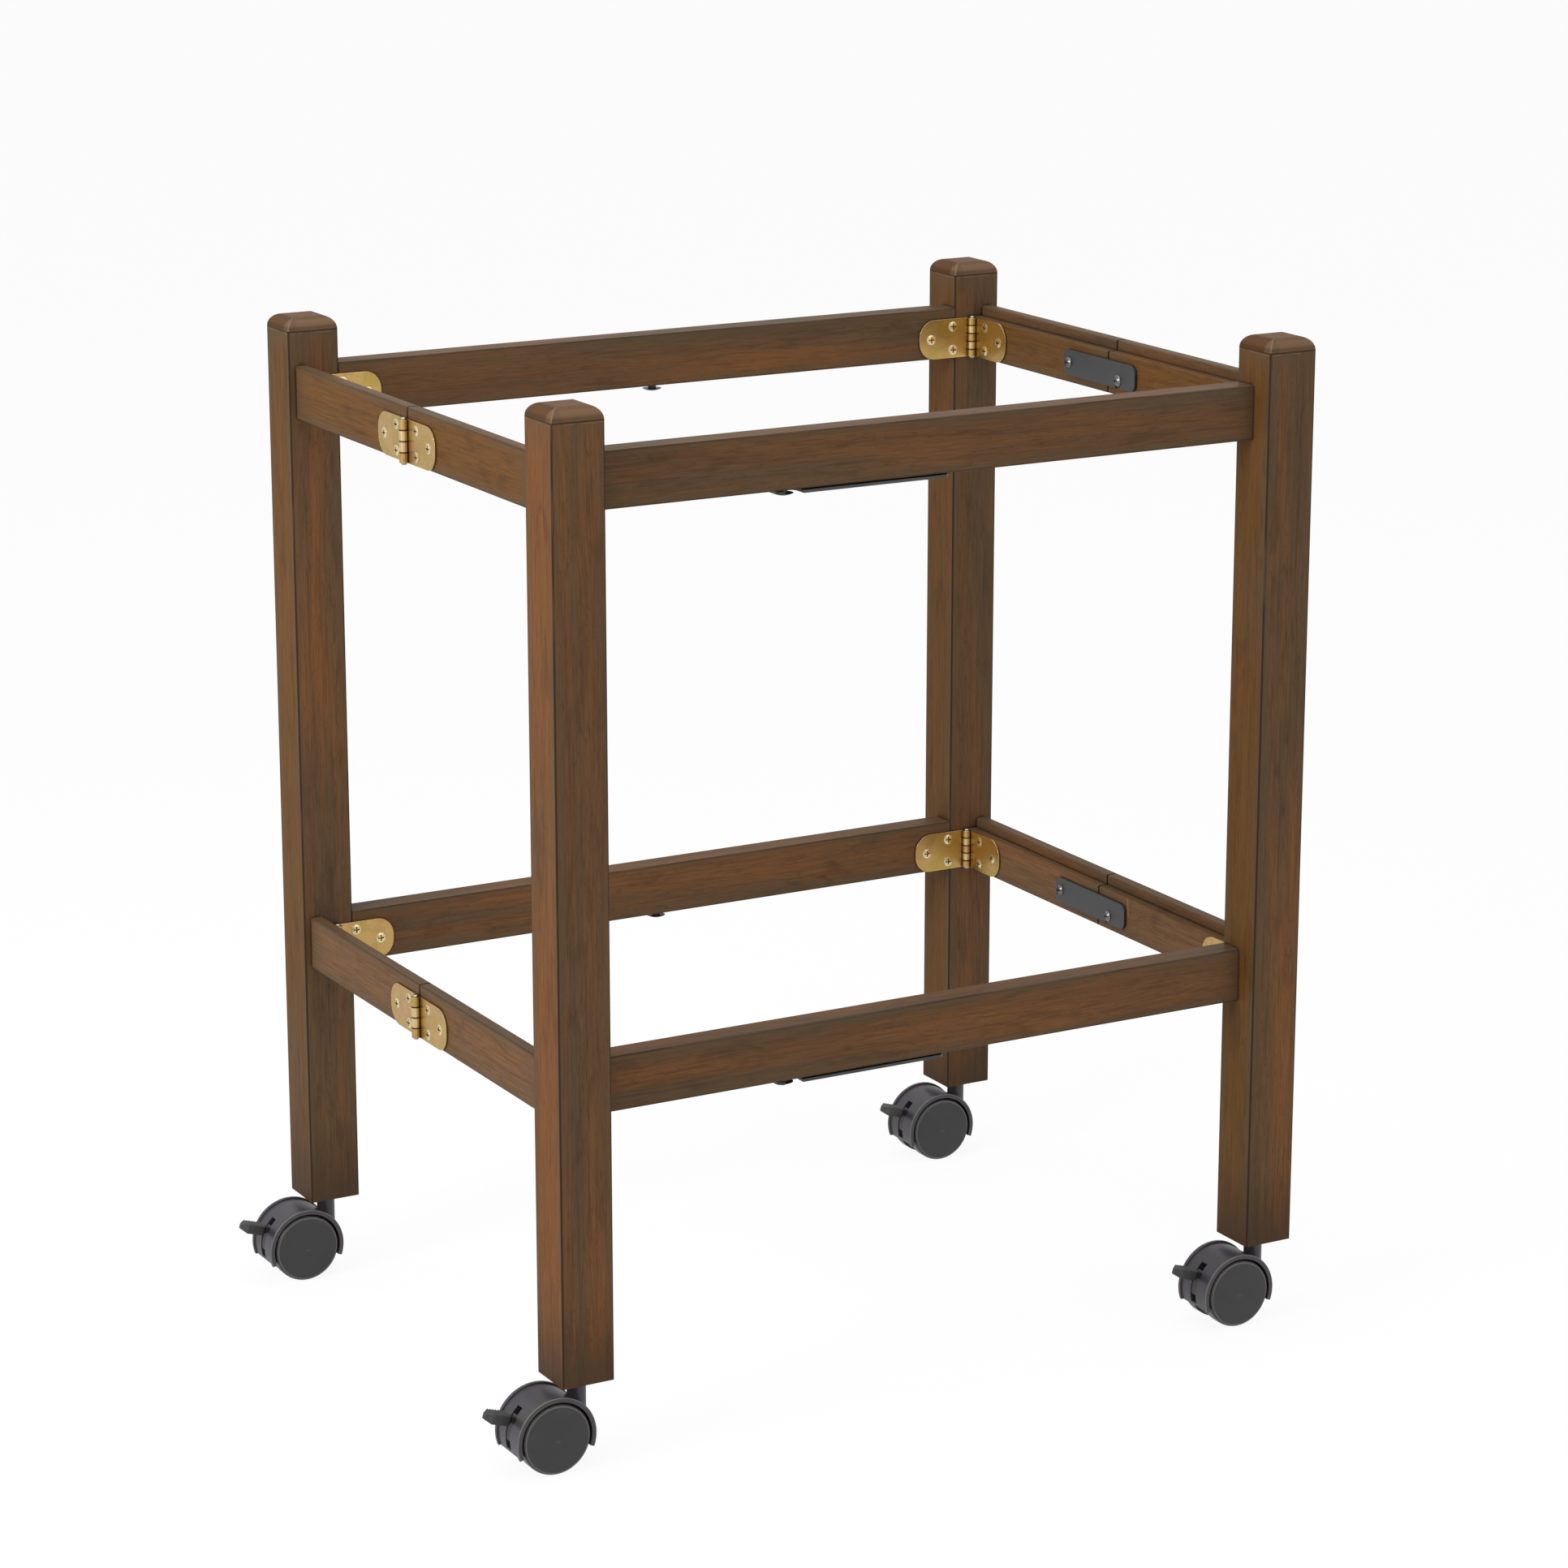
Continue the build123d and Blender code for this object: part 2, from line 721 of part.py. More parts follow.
os.makedirs("parts", exist_ok=True)
for name, shapes in build_nodes().items():
    moved = [Pos(origin_shift, 0, 0) * solid for solid in solids_of(shapes)]
    whole = moved[0] if len(moved) == 1 else Compound(children=moved)
    export_step(whole, f"parts/{name}.step")
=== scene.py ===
import math

import bmesh
import bpy
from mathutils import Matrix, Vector


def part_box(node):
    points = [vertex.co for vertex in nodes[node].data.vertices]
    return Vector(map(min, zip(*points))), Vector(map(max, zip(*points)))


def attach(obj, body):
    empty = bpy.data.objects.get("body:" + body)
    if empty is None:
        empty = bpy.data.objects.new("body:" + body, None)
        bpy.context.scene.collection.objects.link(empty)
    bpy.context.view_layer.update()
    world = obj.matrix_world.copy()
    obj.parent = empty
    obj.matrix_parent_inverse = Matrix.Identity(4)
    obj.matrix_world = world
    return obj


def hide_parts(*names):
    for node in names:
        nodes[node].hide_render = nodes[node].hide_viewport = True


# Folding serving trolley in a white studio. Metres, Z up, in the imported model's own frame.
MM = 0.001
X, Y, Z = range(3)

# The photograph's viewpoint, measured from the middle of the four posts on the floor
IMAGE_SIDE = 1932
FOCAL_PIXELS = 5647.2
SENSOR_WIDTH = 36.0
CAMERA_FROM_MIDDLE = Vector((-1.54398, -2.75633, 1.21636))
CAMERA_YAW = math.radians(-29.27)
CAMERA_DOWN = math.radians(14.76)

# Levels, ends and sides, as the node names give them
LEVELS = ("upper", "lower")
ENDS = ("front", "back")
SIDES = ("left", "right")

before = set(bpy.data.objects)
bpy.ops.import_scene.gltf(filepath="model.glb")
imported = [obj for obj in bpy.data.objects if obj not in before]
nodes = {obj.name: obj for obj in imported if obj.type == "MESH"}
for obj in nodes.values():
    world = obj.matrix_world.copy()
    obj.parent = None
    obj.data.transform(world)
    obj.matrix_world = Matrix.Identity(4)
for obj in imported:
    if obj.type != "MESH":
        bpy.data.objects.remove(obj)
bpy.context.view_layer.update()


# Shader maths
class Socket:
    """An output socket that turns arithmetic into Math nodes."""

    def __init__(self, shader, link):
        self.shader = shader
        self.link = link

    def _math(self, operation, *values):
        return self.shader.node("ShaderNodeMath", {"operation": operation}, dict(enumerate(values)))

    def __add__(self, other):
        return self._math("ADD", self, other)

    def __sub__(self, other):
        return self._math("SUBTRACT", self, other)

    def __rsub__(self, other):
        return self._math("SUBTRACT", other, self)

    def __mul__(self, other):
        return self._math("MULTIPLY", self, other)

    def __truediv__(self, other):
        return self._math("DIVIDE", self, other)

    __radd__ = __add__
    __rmul__ = __mul__

    def absolute(self):
        return self._math("ABSOLUTE", self)

    def least(self, other):
        return self._math("MINIMUM", self, other)

    def most(self, other):
        return self._math("MAXIMUM", self, other)

    def root(self):
        return self._math("SQRT", self)

    def fraction(self):
        return self._math("FRACT", self)

    def ramp(self, low, high):
        """0 below low, 1 above high, and smooth between them."""
        return self.shader.node("ShaderNodeMapRange", {"interpolation_type": "SMOOTHSTEP"},
                                {"Value": self, "From Min": low, "From Max": high})

    def fall(self, low, high):
        """1 below low, 0 above high, and smooth between them."""
        return 1 - self.ramp(low, high)

    def line(self, core, fade):
        """A line along which the value is 0: 1 up to core on either side, and 0 beyond fade."""
        return self.absolute().fall(core, fade)


class Shader:
    """One material and the nodes that feed its Principled shader."""

    def __init__(self, name):
        self.material = bpy.data.materials.new(name)
        self.material.use_nodes = True
        self.tree = self.material.node_tree
        self.surface = self.tree.nodes["Principled BSDF"]

    def node(self, kind, settings=None, inputs=None, output=0):
        made = self.tree.nodes.new(kind)
        for name, value in (settings or {}).items():
            setattr(made, name, value)
        for name, value in (inputs or {}).items():
            self.feed(made.inputs[name], value)
        return Socket(self, made.outputs[output])

    def feed(self, target, value):
        if isinstance(value, Socket):
            self.tree.links.new(value.link, target)
        else:
            target.default_value = value

    def set(self, **values):
        for name, value in values.items():
            self.feed(self.surface.inputs[name.replace("_", " ")], value)

    def place(self, centre=(0, 0, 0), stretch=(1, 1, 1)):
        """Object coordinates measured from a centre and scaled along each axis."""
        where = self.node("ShaderNodeTexCoord", output="Object")
        moved = self.node("ShaderNodeVectorMath", {"operation": "SUBTRACT"}, {0: where, 1: centre})
        return self.node("ShaderNodeVectorMath", {"operation": "MULTIPLY"}, {0: moved, 1: stretch})

    def parts(self, vector):
        split = self.tree.nodes.new("ShaderNodeSeparateXYZ")
        self.feed(split.inputs[0], vector)
        return [Socket(self, output) for output in split.outputs]

    def noise(self, vector, scale, detail, roughness=0.5, distortion=0.0):
        return self.node("ShaderNodeTexNoise", None, {
            "Vector": vector, "Scale": scale, "Detail": detail, "Roughness": roughness,
            "Distortion": distortion}, "Fac")

    def blend(self, factor, first, second):
        return self.node("ShaderNodeMix", {"data_type": "RGBA"}, {0: factor, 6: first, 7: second}, 2)

    def coats(self, tone, *coats):
        """tone under coats of other colours, each given as a mask, the share it covers and a colour."""
        for mask, share, coat in coats:
            tone = self.blend(mask * share, tone, coat)
        return tone

    def shade_in_corners(self, tone, reach, share=0.9):
        """tone with painted shade: darkened where the surface looks into a recess or gap, where shade falls."""
        open_share = self.node("ShaderNodeAmbientOcclusion", {"samples": 8}, {"Distance": reach}, "AO")
        return self.coats(tone, ((1 - open_share).ramp(0.18, 0.62), share, PAINTED_SHADE_AND_GRIME))

    def edges(self, radius):
        """1 on the edges, where a rounding of this radius would turn the surface."""
        flat = self.node("ShaderNodeNewGeometry", output="Normal")
        rounded = self.node("ShaderNodeBevel", {"samples": 4}, {"Radius": radius})
        alike = self.node("ShaderNodeVectorMath", {"operation": "DOT_PRODUCT"}, {0: flat, 1: rounded}, "Value")
        return (1 - alike).ramp(0.01, 0.12)

    def bump(self, height, strength, distance, rounding=None):
        """Relief on the surface, and edges that shade as if rounded."""
        inputs = {"Strength": strength, "Distance": distance, "Height": height}
        if rounding:
            inputs["Normal"] = self.node("ShaderNodeBevel", {"samples": 4}, {"Radius": rounding})
        self.set(Normal=self.node("ShaderNodeBump", None, inputs))


def hypotenuse(first, second):
    """How far a point is from where both values are 0."""
    return (first * first + second * second).root()


def colour(red, green, blue):
    return (red, green, blue, 1.0)


# Painted shade in corners, recesses and gaps and on the screws' edges, and the zinc's fine grime specks, on
# wood, metal and plastic alike
PAINTED_SHADE_AND_GRIME = colour(0.030, 0.019, 0.010)


def posts_middle():
    corners = [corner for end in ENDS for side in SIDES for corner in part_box(f"post_{end}_{side}")]
    middle = sum(corners, Vector()) / len(corners)
    return Vector((middle.x, middle.y, 0.0))


# Stained pine: bands of orange and olive stain run along each piece, with finer fibres over them
STAIN_BROWN = colour(0.124, 0.063, 0.030)
STAIN_ORANGE = colour(0.190, 0.082, 0.031)
STAIN_OLIVE = colour(0.090, 0.062, 0.036)
STAIN_DARK = colour(0.026, 0.015, 0.010)
STAIN_RUBBED = colour(0.30, 0.17, 0.085)
STAIN_CROWN = colour(0.165, 0.070, 0.024)
# Pale grey tan: wear on the arrises and crowns, and a painted highlight on the rails' arrises and below the
# crowns' rims
STAIN_WEAR_AND_HIGHLIGHT = colour(0.175, 0.125, 0.085)
# Painted light and shade on each piece's left (-X) face, standing in for how the light falls on it: orange on
# the front left post, brown on the other posts, the long rails and the upper side rails, tan on the lower side
# rails
PAINTED_LEFT_ORANGE = colour(0.188, 0.069, 0.017)
PAINTED_LEFT_TAN = colour(0.168, 0.086, 0.038)
PAINTED_LEFT_BROWN = colour(0.134, 0.057, 0.010)

# The noises along a piece: scale, stretch along the grain, detail, roughness and distortion. Each piece's
# noise starts elsewhere, by its number times the drift.
GRAIN = {
    "patches": (20.0, 0.22, 3.0, 0.5, 0.0),
    "zones": (44.0, 0.055, 2.0, 0.45, 0.3),
    "wear": (60.0, 0.16, 2.0, 0.5, 0.0),
    "blotches": (75.0, 0.30, 3.0, 0.55, 0.5),
    "rubbed": (85.0, 0.12, 3.0, 0.5, 0.0),
    "figure": (95.0, 0.10, 2.0, 0.5, 1.6),
    "bands": (135.0, 0.030, 2.0, 0.45, 0.0),
    "streaks": (480.0, 0.026, 2.0, 0.5, 0.4),
    "fibres": (1500.0, 0.024, 3.0, 0.6, 0.0),
    "pores": (2300.0, 0.060, 2.0, 0.5, 0.0),
}
GRAIN_DRIFT = (0.37, 0.53, 0.71)
VEINS_IN_FIGURE = 7.0
GRAIN_RELIEF = 0.22 * MM

# How far the stain's borders reach in from the arrises, the ends and a post's foot, and how far they waver
OLIVE_BORDER, BORDER_WAVER = 9 * MM, 14 * MM
END_STAIN_LENGTH, END_WAVER = 36 * MM, 16 * MM
HEEL_LENGTH, HEEL_WAVER = 75 * MM, 50 * MM

# Lines: their half width at full strength, and where they have faded
ARRIS_LINE = (0.6 * MM, 1.5 * MM)
WEAR_AND_HIGHLIGHT_ARRIS_LINE = (0.2 * MM, 0.9 * MM)
SCRATCH_LINE = (0.15 * MM, 0.7 * MM)
CROWN_FOOT_LINE = (0.0, 2.6 * MM)
CROWN_MITRE_LINE = (0.3 * MM, 1.0 * MM)
CROWN_RIM_LINE = (0.3 * MM, 0.9 * MM)
CROWN_GLINT_LINE = (0.1 * MM, 0.7 * MM)

# A post's crown: its height, how sharply it starts and where its flat top ends. The darkest line of its
# rounding and the inner ends of its mitres are at these shares of the height.
POST_CROWN = 9 * MM
CROWN_EDGE = 0.7 * MM
CROWN_FLAT = (0.5 * MM, 2.5 * MM)
CROWN_FOOT_SHARE = 0.78
CROWN_MITRE_SHARE = 0.7
# A painted highlight, the glint, runs this far below the crown's rim
GLINT_BELOW_RIM = 1.2 * MM

# A side rail's ledge, and the latch that swings over the rail's inner face. Its scratch starts between these
# heights over the pivot.
LEDGE_EDGE_RADIUS = 1.2 * MM
CLEAR_OF_ARRIS = (1.5 * MM, 2.5 * MM)
WOOD_CORNER_REACH = 3.5 * MM
LATCH_PIVOT_BACK = 49.5 * MM
LATCH_SWEEP = 89.5 * MM
PIVOT_BELOW_MIDDLE = 3.75 * MM
LEDGE_ABOVE_PIVOT = 15.25 * MM
SCRATCH_START = (-2 * MM, 4 * MM)
INNER_FACE_SKIN = (0.2 * MM, 0.5 * MM)


class Timber:
    """A wooden piece's shader, where a point lies in the piece, and the noises along its grain."""

    def __init__(self, name, along, seed):
        low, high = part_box(name)
        self.centre = (low + high) / 2
        self.half = (high - low) / 2
        self.along = along
        self.shader = Shader("wood_" + name)
        self.offsets = self.shader.parts(self.shader.place(self.centre))
        self.depths = [self.half[axis] - self.offsets[axis].absolute() for axis in (X, Y, Z)]
        first, second = [self.depths[axis] for axis in (X, Y, Z) if axis != along]
        self.from_arris = first.most(second)
        start = self.centre + Vector([seed * step for step in GRAIN_DRIFT])
        for noise, (scale, stretch_along, *settings) in GRAIN.items():
            stretch = [1.0, 1.0, 1.0]
            stretch[along] = stretch_along
            setattr(self, noise, self.shader.noise(self.shader.place(start, stretch), scale, *settings))

    def high_side(self, axis):
        """1 on the face at the high end of an axis, and -1 on the opposite one."""
        return self.offsets[axis] / self.half[axis]

    def low_side(self, axis):
        """1 on the face at the low end of an axis, and -1 on the opposite one."""
        return 0 - self.high_side(axis)


def stain_grain(wood, seed, left_face_paint):
    """The stain's ground and its coats, from broad patches to pores, with painted light and shade on the left
    face.
    """
    lean = 0.05 * math.sin(seed * 2.3)
    veins = ((wood.figure * VEINS_IN_FIGURE).fraction() - 0.5).absolute()
    waver = wood.rubbed - 0.5
    border = (wood.from_arris + waver * BORDER_WAVER).fall(0.0, OLIVE_BORDER)
    ends = (wood.depths[wood.along] + waver * END_WAVER).fall(0.0, END_STAIN_LENGTH)
    return wood.shader.coats(
        STAIN_BROWN,
        (wood.patches.ramp(0.40 + lean, 0.68 + lean), 0.80, STAIN_ORANGE),
        (wood.zones.ramp(0.46, 0.60), 0.58, STAIN_OLIVE),
        (wood.bands.ramp(0.47, 0.68), 0.34, STAIN_OLIVE),
        ((0.50 - wood.bands).ramp(0.0, 0.16), 0.24, STAIN_ORANGE),
        # Painted light and shade: the left face's own tone, standing in for how the light falls on it
        (wood.low_side(X).ramp(0.94, 1.0) * wood.patches.ramp(0.16, 0.46), 0.70, left_face_paint),
        (wood.blotches.ramp(0.54, 0.70), 0.26, STAIN_DARK),
        (wood.streaks.ramp(0.48, 0.70), 0.20, STAIN_DARK),
        (veins.fall(0.0, 0.16), 0.20, STAIN_DARK),
        (wood.fibres.ramp(0.40, 0.66), 0.27, STAIN_DARK),
        (wood.pores.ramp(0.62, 0.74), 0.42, STAIN_DARK),
        (border.most(ends), 0.55, STAIN_OLIVE))


def stain_post(wood, tone):
    """A post's tone, with its dark foot, its crown's worn faces and lines and a painted highlight below its
    rim, and the crown's mask.
    """
    below_top = wood.depths[Z]
    upper_half = wood.high_side(Z).ramp(0.5, 0.6)
    rounding = below_top.fall(POST_CROWN - CROWN_EDGE, POST_CROWN) * upper_half
    heel = (wood.offsets[Z] + wood.half[Z] + (wood.rubbed - 0.5) * HEEL_WAVER).fall(0.0, HEEL_LENGTH)
    foot = (below_top - POST_CROWN * CROWN_FOOT_SHARE).line(*CROWN_FOOT_LINE)
    mitre = (wood.depths[X] - wood.depths[Y]).line(*CROWN_MITRE_LINE)
    mitre = mitre * wood.depths[X].fall(POST_CROWN * CROWN_MITRE_SHARE, POST_CROWN)
    rim = (below_top - POST_CROWN).line(*CROWN_RIM_LINE)
    # Painted highlight: a pale glint line just below the crown's rim
    glint = (below_top - (POST_CROWN + GLINT_BELOW_RIM)).line(*CROWN_GLINT_LINE)
    tone = wood.shader.coats(
        tone,
        (heel, 0.50, STAIN_DARK),
        (rounding, 0.70, STAIN_CROWN),
        (rounding * wood.low_side(X).ramp(0.54, 0.68), 0.42, STAIN_DARK),
        (rounding * wood.low_side(Y).ramp(0.54, 0.68), 0.46, STAIN_WEAR_AND_HIGHLIGHT),
        (below_top.fall(*CROWN_FLAT) * upper_half, 0.32, STAIN_DARK),
        (foot * upper_half, 0.42, STAIN_DARK),
        (mitre * rounding, 0.40, STAIN_RUBBED),
        (rim * upper_half, 0.70, STAIN_DARK),
        (glint * upper_half * wood.rubbed.ramp(0.42, 0.56), 0.45, STAIN_WEAR_AND_HIGHLIGHT))
    return tone, rounding


def stained_wood(name, along, seed, left_face_paint, scuff=None):
    """The fourth argument is the painted light and shade of the left face, and scuff gives a mask of rubbed
    stain.
    """
    wood = Timber(name, along, seed)
    shader = wood.shader
    tone = stain_grain(wood, seed, left_face_paint)
    arris = wood.from_arris.fall(*ARRIS_LINE)
    wear_and_highlight_line = wood.from_arris.fall(*WEAR_AND_HIGHLIGHT_ARRIS_LINE)
    if along == Z:
        tone, crown = stain_post(wood, tone)
        arris = arris * (1 - crown)
        tone = shader.coats(tone, (arris, 0.88, STAIN_DARK),
                            (wear_and_highlight_line * wood.wear.ramp(0.62, 0.70), 0.30, STAIN_RUBBED))
    else:
        # On the rails the thin pale arris line is partly wear, partly a painted highlight where the rounded
        # arris catches the light
        tone = shader.coats(tone, (arris, 0.55, STAIN_DARK),
                            (wear_and_highlight_line * wood.wear.ramp(0.46, 0.56), 0.45, STAIN_WEAR_AND_HIGHLIGHT))
    if along == Y:
        ledge = shader.edges(LEDGE_EDGE_RADIUS) * wood.from_arris.ramp(*CLEAR_OF_ARRIS)
        tone = shader.coats(tone, (wood.high_side(Z).ramp(0.93, 0.99), 0.45, STAIN_OLIVE),
                            (ledge, 0.80, STAIN_DARK))
    # Painted shade in the joints, gaps and hollows of the wood
    tone = shader.shade_in_corners(tone, WOOD_CORNER_REACH)
    if scuff:
        tone = shader.coats(tone, (scuff(wood), 0.75, STAIN_RUBBED))

    sheen = 0.46 + (wood.fibres - 0.5) * 0.20 + (wood.streaks - 0.5) * 0.10 - arris * 0.08
    shader.set(Base_Color=tone, Roughness=sheen, IOR=1.5, Specular_IOR_Level=0.035)
    shader.bump(wood.fibres * 0.5 + wood.streaks * 0.5 + wood.bands * 0.6, 0.20, GRAIN_RELIEF)
    return shader.material


def latch_scratch(wood):
    """The pale arc that the latch's free end has rubbed into the rail's inner face, up to the ledge."""
    back = wood.offsets[Y] + (wood.centre.y - LATCH_PIVOT_BACK)
    rise = wood.offsets[Z] + PIVOT_BELOW_MIDDLE
    arc = (hypotenuse(back, rise) - LATCH_SWEEP).line(*SCRATCH_LINE)
    side = math.copysign(1, wood.centre.x - posts_middle().x)
    inner_face = (wood.offsets[X] * side + wood.half.x).fall(*INNER_FACE_SKIN)
    below_ledge = rise.ramp(*SCRATCH_START) * rise.fall(LEDGE_ABOVE_PIVOT - 0.2 * MM, LEDGE_ABOVE_PIVOT)
    return arc * inner_face * below_ledge * (0 - back).ramp(0.0, 1 * MM)


# Yellow passivated zinc, with the olive and copper clouds of its thin film
ZINC_OLIVE = colour(0.430, 0.295, 0.080)
ZINC_GOLD = colour(0.500, 0.325, 0.115)
ZINC_COPPER = colour(0.460, 0.250, 0.120)
ZINC_PALE = colour(0.64, 0.54, 0.29)
ZINC_STRAW = colour(0.78, 0.61, 0.35)
# A bright straw tone: the painted highlight on the leaves' edges, and the tone of every other knuckle
ZINC_BRIGHT_AND_HIGHLIGHT = colour(0.95, 0.80, 0.52)
PIN_STEEL = colour(0.36, 0.34, 0.31)
EDGE_ROUND = 0.35 * MM
METAL_CORNER_REACH = 1.6 * MM
HINGE_ABOVE_RAIL_FOOT = 15.25 * MM
HINGE_HALF_HEIGHT = 15.0 * MM
BARREL_RADIUS = 3.4 * MM
KNUCKLE_GAP_LINE = (0.35 * MM, 0.8 * MM)

# Each kind of hinge barrel: how far out and back from the posts' middle it stands, and how far the gaps between
# its knuckles are from the hinge's middle, up or down
CORNER_BARREL = (267.3 * MM, 183.8 * MM, (3.03 * MM, 9.09 * MM))
MIDDLE_BARREL = (290.2 * MM, 0.0, (0.0, 7.575 * MM))


def from_hinge_middle(offsets):
    """Height above or below the middle of the nearer level's hinges."""
    middles = [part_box(f"side_rail_{level}_left_front")[0].z + HINGE_ABOVE_RAIL_FOOT for level in LEVELS]
    upper, lower = [(offsets[Z] - middle).absolute() for middle in middles]
    return upper.least(lower)


def barrel_rings(offsets):
    """The painted shade rings in the gaps between the knuckles of the hinges' barrels, and every other knuckle.
    """
    sideways = (offsets[X] - posts_middle().x).absolute()
    backwards = offsets[Y].absolute()
    rise = from_hinge_middle(offsets)
    shade_rings, others = [], []
    for out, back, (first_gap, second_gap) in (CORNER_BARREL, MIDDLE_BARREL):
        barrel = hypotenuse(sideways - out, backwards - back).fall(BARREL_RADIUS, BARREL_RADIUS + 0.2 * MM)
        from_gap = (rise - first_gap).absolute().least((rise - second_gap).absolute())
        # Painted shade in the gaps between knuckles
        shade_rings.append(barrel * from_gap.fall(*KNUCKLE_GAP_LINE))
        knuckle = rise.ramp(first_gap, first_gap + 0.1 * MM) * rise.fall(second_gap - 0.1 * MM, second_gap)
        others.append(barrel * knuckle)
    return shade_rings[0].most(shade_rings[1]), others[0].most(others[1])


def plated_zinc(name, clouds, painted_edge_tone, pins=False):
    """clouds are the three colours of the film, from its thin places to its thick ones, and the third argument
    is the
    colour painted on the edges: a painted highlight on the leaves, a painted dark outline of shade on the
    screws.
    With pins, the barrels get their painted shade rings and the pins' ends their grey."""
    thin, middle, thick = clouds
    shader = Shader(name)
    place = shader.place()
    first = shader.noise(place, scale=48.0, detail=2.0, distortion=0.9)
    second = shader.noise(place, scale=66.0, detail=2.0, distortion=1.4)
    spots = shader.noise(place, scale=700.0, detail=4.0, roughness=0.65)
    brushed = shader.noise(shader.place(stretch=(1.0, 1.0, 0.16)), scale=900.0, detail=2.0, roughness=0.6)
    film = shader.coats(
        shader.blend(first.ramp(0.38, 0.60), thin, middle),
        (second.ramp(0.52, 0.70), 0.75, thick),
        (spots.ramp(0.50, 0.76), 0.36, PAINTED_SHADE_AND_GRIME),
        # Painted highlight on the leaves' edges, painted dark outline of shade on the screws' edges
        (shader.edges(0.5 * MM), 0.45, painted_edge_tone))
    if pins:
        offsets = shader.parts(place)
        shade_rings, others = barrel_rings(offsets)
        pin_ends = from_hinge_middle(offsets).ramp(HINGE_HALF_HEIGHT, HINGE_HALF_HEIGHT + 0.2 * MM)
        # Painted shade rings between the knuckles
        film = shader.coats(film, (others, 0.30, ZINC_BRIGHT_AND_HIGHLIGHT), (shade_rings, 0.82, PAINTED_SHADE_AND_GRIME), (pin_ends, 0.85, PIN_STEEL))
    # Painted shade in the hollows and gaps of the zinc parts
    shader.set(Base_Color=shader.shade_in_corners(film, METAL_CORNER_REACH), Metallic=1.0,
               Roughness=0.34 + (spots - 0.5) * 0.24 + (brushed - 0.5) * 0.12)
    shader.bump(spots * 0.6 + brushed * 0.4, 0.10, 0.10 * MM, EDGE_ROUND)
    return shader.material


# Black plated steel of the latches, bars and their screws
BLACK_PLATE = colour(0.018, 0.018, 0.0205)
BLACK_BAR = colour(0.020, 0.021, 0.020)
NICKEL = colour(0.150, 0.148, 0.150)
NICKEL_ROUGHNESS = 0.26
SMEAR_LIFT = 1.35
# How much paler the edges are, partly wear and partly a painted highlight
EDGE_WEAR_AND_HIGHLIGHT_LIFT = 3.2
PIVOT_HEAD_RADIUS = 4.4 * MM


def lifted(tone, times):
    """A tone that many times brighter."""
    return colour(*[times * part for part in tone[:3]])


def black_steel(name, tone, roughness, metallic, heads=None):
    """heads gives a mask of the bare screw heads that belong to the piece."""
    shader = Shader(name)
    place = shader.place()
    grit = shader.noise(place, scale=1100.0, detail=3.0, roughness=0.6)
    smear = shader.noise(place, scale=55.0, detail=3.0)
    base = shader.blend(smear.ramp(0.35, 0.70), tone, lifted(tone, SMEAR_LIFT))
    # Pale edges: partly wear, partly a painted highlight where the edges catch the light
    base = shader.coats(base, (shader.edges(0.4 * MM), 0.5, lifted(tone, EDGE_WEAR_AND_HIGHLIGHT_LIFT)))
    rough = roughness + (smear - 0.5) * 0.18 + (grit - 0.5) * 0.1
    if heads:
        on_head = heads(shader)
        base = shader.blend(on_head, base, NICKEL)
        metallic = on_head
        rough = rough + on_head * (NICKEL_ROUGHNESS - roughness)
    # Painted shade in the hollows and gaps of the black steel
    shader.set(Base_Color=shader.shade_in_corners(base, METAL_CORNER_REACH), Metallic=metallic, Roughness=rough)
    shader.bump(grit, 0.10, 0.08 * MM, EDGE_ROUND)
    return shader.material


def pivot_heads(shader):
    """The pivot screw's head at the back end of each latch."""
    offsets = shader.parts(shader.place())
    from_pivot = hypotenuse(offsets[Y] - LATCH_PIVOT_BACK, from_hinge_middle(offsets))
    return from_pivot.fall(PIVOT_HEAD_RADIUS, PIVOT_HEAD_RADIUS + 0.1 * MM)


# Turned steel of the caster stems and axles
def bright_steel():
    shader = Shader("bright_steel")
    turned = shader.noise(shader.place(stretch=(1.0, 1.0, 14.0)), scale=240.0, detail=3.0, roughness=0.6)
    shader.set(Base_Color=shader.blend(turned, colour(0.50, 0.50, 0.51), colour(0.66, 0.66, 0.67)),
               Metallic=1.0, Roughness=0.26 + turned * 0.14)
    shader.bump(turned, 0.08, 0.05 * MM)
    return shader.material


# Moulded nylon of the casters, with a fine spark-eroded texture
NYLON_VIOLET = colour(0.0310, 0.0265, 0.0350)
NYLON_OLIVE = colour(0.0315, 0.0318, 0.0290)
NYLON_GREY = colour(0.0150, 0.0147, 0.0152)
NYLON_DARK = colour(0.0110, 0.0112, 0.0105)
# Pale edges: partly wear, partly a painted highlight
NYLON_WEAR_AND_HIGHLIGHT = colour(0.070, 0.070, 0.066)
# The painted highlight on the wheels' rings and along the hoods' beads
NYLON_HIGHLIGHT = colour(0.150, 0.148, 0.145)
NYLON_CORNER_REACH = 2.5 * MM
WHEEL_FACE_RADIUS = 23.2 * MM
WHEEL_RING_LINE = (0.1 * MM, 0.6 * MM)
HOOD_BEAD_RADIUS = 29.2 * MM


